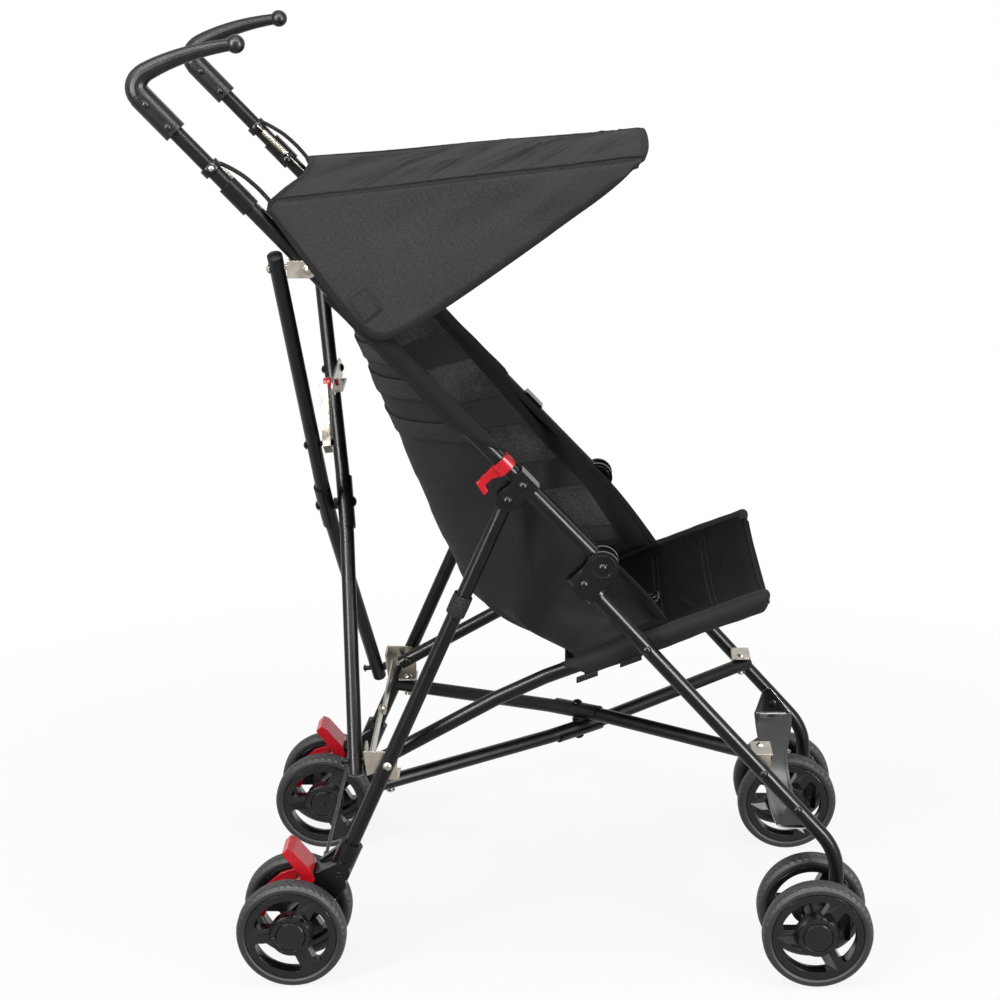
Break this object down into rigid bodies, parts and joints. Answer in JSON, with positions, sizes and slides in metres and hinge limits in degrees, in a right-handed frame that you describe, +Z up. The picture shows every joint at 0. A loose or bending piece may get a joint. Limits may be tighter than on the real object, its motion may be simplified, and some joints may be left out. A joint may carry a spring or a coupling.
{
  "type": "umbrella stroller",
  "caption": "Folding umbrella stroller: crossed tube frame with hooked grips, sling seat, sun canopy, twin swivel front wheels and braked twin rear wheels.",
  "frame": {"origin": "bottom centre of the standing stroller, on the floor", "axes": "+X forward, +Y to the rider's left, +Z up"},
  "size_m": [0.7707, 0.4684, 1.0181],
  "materials": {
    "black_tube": "satin black powder coat",
    "plated_steel": "bright plated sheet and wire",
    "moulded_plastic": "fine moulded grain",
    "grip": "soft matte moulding",
    "red_plastic": "glossy moulded red",
    "wheel": "satin rim and textured foam tyre",
    "canopy_cloth": "woven polyester with bound edges",
    "seat_cloth": "woven polyester, quilted panels",
    "gloss_band": "glossy moulded band",
    "cable": "black sheath"
  },
  "bodies": {
    "cross_bolt": {"rear_x_bolt": "black_tube"},
    "strut_a": {"rear_strut_a": "black_tube"},
    "strut_b": {"rear_strut_b": "black_tube"},
    "lock_lever": {"lock_lever": "plated_steel"},
    "lock_yoke": {"lock_yoke": "plated_steel", "lock_spring": "plated_steel"},
    "release_button": {"release_button": "red_plastic"},
    "transport_catch": {"transport_catch": "red_plastic"},
    "brace_c": {"lower_brace_c": "black_tube", "lower_x_bolt": "black_tube"},
    "brace_d": {"lower_brace_d": "black_tube"},
    "clevis_right": {"clevis_right": "plated_steel"},
    "push_right": {"push_tube_right": "black_tube", "grip_right": "grip", "pivot_plate_right": "moulded_plastic", "canopy_clip_right": "moulded_plastic", "seat_back": "seat_cloth", "canopy": "canopy_cloth"},
    "rear_leg_right": {"rear_leg_right": "black_tube", "rear_hub_right": "moulded_plastic", "rear_axle_right": "plated_steel", "brake_cable": "cable"},
    "rear_bracket_right": {"rear_bracket_right": "plated_steel"},
    "rear_swivel_right": {"rear_swivel_right": "plated_steel"},
    "front_leg_right": {"front_leg_right": "black_tube", "knee_bracket_right": "moulded_plastic", "footrest": "gloss_band"},
    "front_bracket_right": {"front_bracket_right": "plated_steel"},
    "spreader_right": {"spreader_right": "plated_steel"},
    "seat_rail_right": {"seat_rail_right": "black_tube", "seat_base": "seat_cloth"},
    "fork_right": {"front_fork_right": "moulded_plastic", "front_axle_right": "plated_steel"},
    "brake_right": {"brake_pedal_right": "red_plastic"},
    "wheel_rear_right_inner": {"wheel_rear_right_inner": "wheel"},
    "wheel_rear_right_outer": {"wheel_rear_right_outer": "wheel"},
    "wheel_front_right_inner": {"wheel_front_right_inner": "wheel"},
    "wheel_front_right_outer": {"wheel_front_right_outer": "wheel"},
    "clevis_left": {"clevis_left": "plated_steel"},
    "push_left": {"push_tube_left": "black_tube", "grip_left": "grip", "pivot_plate_left": "moulded_plastic", "canopy_clip_left": "moulded_plastic"},
    "rear_leg_left": {"rear_leg_left": "black_tube", "rear_hub_left": "moulded_plastic", "rear_axle_left": "plated_steel"},
    "rear_bracket_left": {"rear_bracket_left": "plated_steel"},
    "rear_swivel_left": {"rear_swivel_left": "plated_steel"},
    "front_leg_left": {"front_leg_left": "black_tube", "knee_bracket_left": "moulded_plastic"},
    "front_bracket_left": {"front_bracket_left": "plated_steel"},
    "spreader_left": {"spreader_left": "plated_steel"},
    "seat_rail_left": {"seat_rail_left": "black_tube"},
    "fork_left": {"front_fork_left": "moulded_plastic", "front_axle_left": "plated_steel"},
    "brake_left": {"brake_pedal_left": "red_plastic"},
    "wheel_rear_left_inner": {"wheel_rear_left_inner": "wheel"},
    "wheel_rear_left_outer": {"wheel_rear_left_outer": "wheel"},
    "wheel_front_left_inner": {"wheel_front_left_inner": "wheel"},
    "wheel_front_left_outer": {"wheel_front_left_outer": "wheel"}
  },
  "joints": [
    {"name": "fold", "type": "hinge", "parent": "cross_bolt", "child": "strut_a", "pos_m": [-0.20595, 0, 0.48266], "axis": [-0.9936, 0, -0.1126], "range_deg": [0, 19], "deforming": ["seat_back", "seat_base", "canopy", "footrest", "brake_cable"]},
    {"name": "strut_b_turn", "type": "hinge", "parent": "cross_bolt", "child": "strut_b", "pos_m": [-0.20595, 0, 0.48266], "axis": [-0.9936, 0, -0.1126], "range_deg": [-19.01, 0]},
    {"name": "clevis_right_roll", "type": "hinge", "parent": "strut_a", "child": "clevis_right", "pos_m": [-0.24002, -0.184, 0.78331], "axis": [-0.9936, 0, -0.1126], "range_deg": [-17.28, 0]},
    {"name": "push_right_swing", "type": "hinge", "parent": "clevis_right", "child": "push_right", "pos_m": [-0.20702, -0.184, 0.78331], "axis": [0, -1, 0], "range_deg": [-17.26, 0]},
    {"name": "rear_leg_right_swing", "type": "hinge", "parent": "push_right", "child": "rear_leg_right", "pos_m": [-0.00743, -0.184, 0.53856], "axis": [0, -1, 0], "range_deg": [0, 33.69]},
    {"name": "rear_bracket_right_swing", "type": "hinge", "parent": "rear_leg_right", "child": "rear_bracket_right", "pos_m": [-0.13962, -0.184, 0.24166], "axis": [0, -1, 0], "range_deg": [-13.7, 0]},
    {"name": "rear_swivel_right_swing", "type": "hinge", "parent": "rear_leg_right", "child": "rear_swivel_right", "pos_m": [-0.13962, -0.184, 0.24166], "axis": [0, -1, 0], "range_deg": [0, 17.05]},
    {"name": "front_leg_right_swing", "type": "hinge", "parent": "push_right", "child": "front_leg_right", "pos_m": [0.092, -0.184, 0.466], "axis": [0, -1, 0], "range_deg": [0, 77.88]},
    {"name": "seat_rail_right_swing", "type": "hinge", "parent": "front_leg_right", "child": "seat_rail_right", "pos_m": [0.139, -0.184, 0.37294], "axis": [0, -1, 0], "range_deg": [-42.58, 0]},
    {"name": "clevis_left_roll", "type": "hinge", "parent": "strut_b", "child": "clevis_left", "pos_m": [-0.24002, 0.184, 0.78331], "axis": [-0.9936, 0, -0.1126], "range_deg": [0, 17.28]},
    {"name": "push_left_swing", "type": "hinge", "parent": "clevis_left", "child": "push_left", "pos_m": [-0.20702, 0.184, 0.78331], "axis": [0, -1, 0], "range_deg": [-17.26, 0]},
    {"name": "rear_leg_left_swing", "type": "hinge", "parent": "push_left", "child": "rear_leg_left", "pos_m": [-0.00743, 0.184, 0.53856], "axis": [0, -1, 0], "range_deg": [0, 33.69]},
    {"name": "rear_bracket_left_swing", "type": "hinge", "parent": "rear_leg_left", "child": "rear_bracket_left", "pos_m": [-0.13962, 0.184, 0.24166], "axis": [0, -1, 0], "range_deg": [-13.7, 0]},
    {"name": "rear_swivel_left_swing", "type": "hinge", "parent": "rear_leg_left", "child": "rear_swivel_left", "pos_m": [-0.13962, 0.184, 0.24166], "axis": [0, -1, 0], "range_deg": [0, 17.05]},
    {"name": "front_leg_left_swing", "type": "hinge", "parent": "push_left", "child": "front_leg_left", "pos_m": [0.092, 0.184, 0.466], "axis": [0, -1, 0], "range_deg": [0, 77.88]},
    {"name": "seat_rail_left_swing", "type": "hinge", "parent": "front_leg_left", "child": "seat_rail_left", "pos_m": [0.139, 0.184, 0.37294], "axis": [0, -1, 0], "range_deg": [-42.58, 0]},
    {"name": "brace_c_turn", "type": "hinge", "parent": "rear_swivel_right", "child": "brace_c", "pos_m": [-0.13962, -0.153, 0.20866], "axis": [0, 0, 1], "range_deg": [-24.26, 0]},
    {"name": "brace_d_turn", "type": "hinge", "parent": "rear_swivel_left", "child": "brace_d", "pos_m": [-0.13962, 0.153, 0.20866], "axis": [0, 0, 1], "range_deg": [0, 24.26]},
    {"name": "front_bracket_left_turn", "type": "hinge", "parent": "brace_c", "child": "front_bracket_left", "pos_m": [0.26498, 0.147, 0.23704], "axis": [0, 0, 1], "range_deg": [0, 26.31]},
    {"name": "front_bracket_right_turn", "type": "hinge", "parent": "brace_d", "child": "front_bracket_right", "pos_m": [0.26498, -0.147, 0.23704], "axis": [0, 0, 1], "range_deg": [-26.31, 0]},
    {"name": "spreader_right_lift", "type": "hinge", "parent": "rear_bracket_right", "child": "spreader_right", "pos_m": [-0.17762, -0.153, 0.23266], "axis": [0.9936, 0, 0.1126], "range_deg": [0, 71.46]},
    {"name": "spreader_left_lift", "type": "hinge", "parent": "rear_bracket_left", "child": "spreader_left", "pos_m": [-0.17762, 0.153, 0.23266], "axis": [0.9936, 0, 0.1126], "range_deg": [-71.46, 0]},
    {"name": "lock_lever_turn", "type": "hinge", "parent": "strut_b", "child": "lock_lever", "pos_m": [-0.22144, 0.08365, 0.61934], "axis": [0.9936, 0, 0.1126], "range_deg": [-22.59, 0]},
    {"name": "lock_yoke_turn", "type": "hinge", "parent": "strut_a", "child": "lock_yoke", "pos_m": [-0.21528, -0.0504, 0.56501], "axis": [0.9936, 0, 0.1126], "range_deg": [0, 89.28]},
    {"name": "button_press", "type": "slide", "parent": "lock_lever", "child": "release_button", "axis": [0.9936, 0, 0.1126], "range_m": [0, 0.003], "stiffness_N_per_m": 400},
    {"name": "catch_turn", "type": "hinge", "parent": "push_right", "child": "transport_catch", "pos_m": [-0.01087, -0.184, 0.57517], "axis": [-0.6858, 0, 0.7278], "range_deg": [0, 45]},
    {"name": "brake_right_press", "type": "hinge", "parent": "rear_leg_right", "child": "brake_right", "pos_m": [-0.238, -0.184, 0.104], "axis": [0, -1, 0], "range_deg": [0, 14]},
    {"name": "fork_right_swivel", "type": "hinge", "parent": "front_leg_right", "child": "fork_right", "pos_m": [0.347, -0.184, 0.06], "axis": [0, 0, 1], "continuous": true},
    {"name": "wheel_rear_right_inner_spin", "type": "hinge", "parent": "rear_leg_right", "child": "wheel_rear_right_inner", "pos_m": [-0.246, -0.184, 0.06], "axis": [0, 1, 0], "continuous": true},
    {"name": "wheel_rear_right_outer_spin", "type": "hinge", "parent": "rear_leg_right", "child": "wheel_rear_right_outer", "pos_m": [-0.246, -0.184, 0.06], "axis": [0, 1, 0], "continuous": true},
    {"name": "wheel_front_right_inner_spin", "type": "hinge", "parent": "fork_right", "child": "wheel_front_right_inner", "pos_m": [0.324, -0.184, 0.06], "axis": [0, 1, 0], "continuous": true},
    {"name": "wheel_front_right_outer_spin", "type": "hinge", "parent": "fork_right", "child": "wheel_front_right_outer", "pos_m": [0.324, -0.184, 0.06], "axis": [0, 1, 0], "continuous": true},
    {"name": "brake_left_press", "type": "hinge", "parent": "rear_leg_left", "child": "brake_left", "pos_m": [-0.238, 0.184, 0.104], "axis": [0, -1, 0], "range_deg": [0, 14]},
    {"name": "fork_left_swivel", "type": "hinge", "parent": "front_leg_left", "child": "fork_left", "pos_m": [0.347, 0.184, 0.06], "axis": [0, 0, 1], "continuous": true},
    {"name": "wheel_rear_left_inner_spin", "type": "hinge", "parent": "rear_leg_left", "child": "wheel_rear_left_inner", "pos_m": [-0.246, 0.184, 0.06], "axis": [0, 1, 0], "continuous": true},
    {"name": "wheel_rear_left_outer_spin", "type": "hinge", "parent": "rear_leg_left", "child": "wheel_rear_left_outer", "pos_m": [-0.246, 0.184, 0.06], "axis": [0, 1, 0], "continuous": true},
    {"name": "wheel_front_left_inner_spin", "type": "hinge", "parent": "fork_left", "child": "wheel_front_left_inner", "pos_m": [0.324, 0.184, 0.06], "axis": [0, 1, 0], "continuous": true},
    {"name": "wheel_front_left_outer_spin", "type": "hinge", "parent": "fork_left", "child": "wheel_front_left_outer", "pos_m": [0.324, 0.184, 0.06], "axis": [0, 1, 0], "continuous": true}
  ],
  "couplings": [
    {"joint": "strut_b_turn", "follows": "fold", "ratio": -1},
    {"joint": "clevis_right_roll", "follows": "fold", "ratio": -0.9092},
    {"joint": "push_right_swing", "follows": "fold", "ratio": -0.9082},
    {"joint": "rear_leg_right_swing", "follows": "fold", "ratio": 1.7723},
    {"joint": "rear_bracket_right_swing", "follows": "fold", "ratio": -0.7209},
    {"joint": "rear_swivel_right_swing", "follows": "fold", "ratio": 0.8967},
    {"joint": "front_leg_right_swing", "follows": "fold", "ratio": 4.097},
    {"joint": "seat_rail_right_swing", "follows": "fold", "ratio": -2.2397},
    {"joint": "clevis_left_roll", "follows": "fold", "ratio": 0.9092},
    {"joint": "push_left_swing", "follows": "fold", "ratio": -0.9082},
    {"joint": "rear_leg_left_swing", "follows": "fold", "ratio": 1.7723},
    {"joint": "rear_bracket_left_swing", "follows": "fold", "ratio": -0.7209},
    {"joint": "rear_swivel_left_swing", "follows": "fold", "ratio": 0.8967},
    {"joint": "front_leg_left_swing", "follows": "fold", "ratio": 4.097},
    {"joint": "seat_rail_left_swing", "follows": "fold", "ratio": -2.2397},
    {"joint": "brace_c_turn", "follows": "fold", "ratio": -1.2764},
    {"joint": "brace_d_turn", "follows": "fold", "ratio": 1.2764},
    {"joint": "front_bracket_left_turn", "follows": "fold", "ratio": 1.3842},
    {"joint": "front_bracket_right_turn", "follows": "fold", "ratio": -1.3842},
    {"joint": "spreader_right_lift", "follows": "fold", "ratio": 3.7591},
    {"joint": "spreader_left_lift", "follows": "fold", "ratio": -3.7591},
    {"joint": "lock_lever_turn", "follows": "fold", "ratio": -1.1883},
    {"joint": "lock_yoke_turn", "follows": "fold", "ratio": 4.6964},
    {"joint": "brake_left_press", "follows": "brake_right_press", "ratio": 1}
  ]
}
